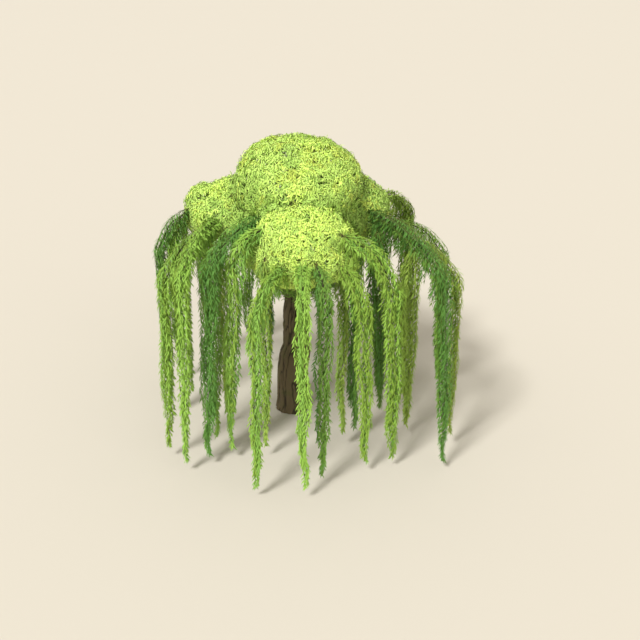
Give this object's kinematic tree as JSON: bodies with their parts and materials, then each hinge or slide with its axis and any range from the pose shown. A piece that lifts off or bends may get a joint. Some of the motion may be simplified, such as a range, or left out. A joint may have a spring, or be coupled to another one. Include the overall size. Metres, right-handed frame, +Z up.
{
  "type": "weeping willow tree",
  "caption": "Weeping willow with a leaning flared trunk, rounded crown masses and long leafy streamers that arch out and hang almost to the ground.",
  "frame": {"origin": "middle of the flat cut under the trunk, at ground level", "axes": "+Z up; -Y towards the front, where the lower rounded mass of the crown is; +X to the right as seen from the front"},
  "size_m": [10.1627, 10.368, 9.9511],
  "materials": {
    "bark": "rough, deeply furrowed dark brown bark",
    "leaves_lime": "matt young yellow-green foliage",
    "leaves_green": "matt mid-green foliage",
    "leaves_olive": "matt olive-green foliage",
    "leaves_deep": "matt deep green foliage"
  },
  "bodies": {
    "root": {"crown_front": "leaves_lime", "crown_top": "leaves_lime", "crown_left": "leaves_lime", "crown_right": "leaves_lime", "crown_back": "leaves_lime", "crown_low": "leaves_green", "trunk": "bark", "bough_leader": "bark", "bough_left": "bark", "bough_right": "bark", "bough_back": "bark", "bough_front": "bark", "arch_left_side": "leaves_deep", "arch_left_outer": "leaves_green", "arch_left_front": "leaves_green", "arch_left_deep": "leaves_deep", "arch_left_light": "leaves_green", "arch_front_left": "leaves_green", "arch_front_middle": "leaves_green", "arch_front_deep": "leaves_deep", "arch_front_right": "leaves_green", "arch_right_front": "leaves_green", "arch_right_outer": "leaves_deep", "arch_right_far": "leaves_olive", "arch_right_side": "leaves_green", "arch_back_right": "leaves_olive", "arch_back_far": "leaves_green", "arch_back_deep": "leaves_deep", "arch_back_middle": "leaves_green", "arch_back_left": "leaves_olive", "arch_left_back": "leaves_green", "streamer_left_side": "leaves_deep", "streamer_left_outer": "leaves_green", "streamer_left_front": "leaves_green", "streamer_left_deep": "leaves_deep", "streamer_left_light": "leaves_green", "streamer_front_left": "leaves_green", "streamer_front_middle": "leaves_green", "streamer_front_deep": "leaves_deep", "streamer_front_right": "leaves_green", "streamer_right_front": "leaves_green", "streamer_right_outer": "leaves_deep", "streamer_right_far": "leaves_olive", "streamer_right_side": "leaves_green", "streamer_back_right": "leaves_olive", "streamer_back_far": "leaves_green", "streamer_back_deep": "leaves_deep", "streamer_back_middle": "leaves_green", "streamer_back_left": "leaves_olive", "streamer_left_back": "leaves_green", "streamer_left_gap": "leaves_green", "streamer_front_olive": "leaves_olive", "streamer_front_right_olive": "leaves_olive", "streamer_right_inner": "leaves_deep", "streamer_right_shade": "leaves_deep", "streamer_right_middle": "leaves_olive", "streamer_left_under": "leaves_green", "streamer_left_low": "leaves_olive", "streamer_back_under": "leaves_deep", "streamer_back_inner": "leaves_green"}
  },
  "joints": []
}
